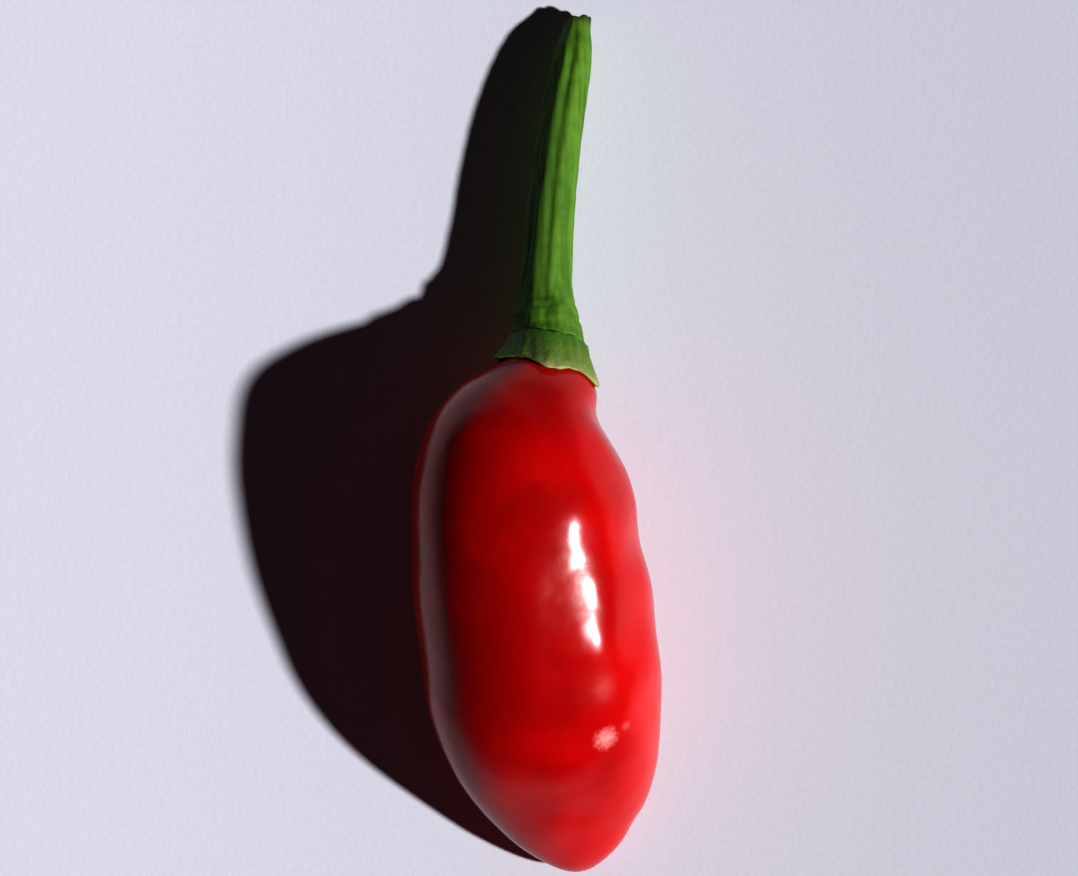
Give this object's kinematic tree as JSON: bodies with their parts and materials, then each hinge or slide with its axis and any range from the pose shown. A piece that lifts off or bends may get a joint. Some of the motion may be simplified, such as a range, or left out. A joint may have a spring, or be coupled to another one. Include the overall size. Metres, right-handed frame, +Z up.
{
  "type": "chilli pepper",
  "caption": "Small plump red chilli pepper with a low toothed green calyx and a ribbed cut stem, lying on its side.",
  "frame": {"origin": "under the middle of the whole pepper, on the surface that it lies on", "axes": "+Y along the pepper from the tip of the pod to the cut end of the stem, +Z up from the surface, +X to the right seen from above"},
  "size_m": [0.0168, 0.0576, 0.016],
  "materials": {
    "pod_skin": "glossy waxy red pepper skin",
    "calyx_green": "satin olive green leaf tissue",
    "stem_green": "satin ribbed green stalk"
  },
  "bodies": {
    "root": {"pod": "pod_skin", "calyx": "calyx_green", "stem": "stem_green"}
  },
  "joints": []
}
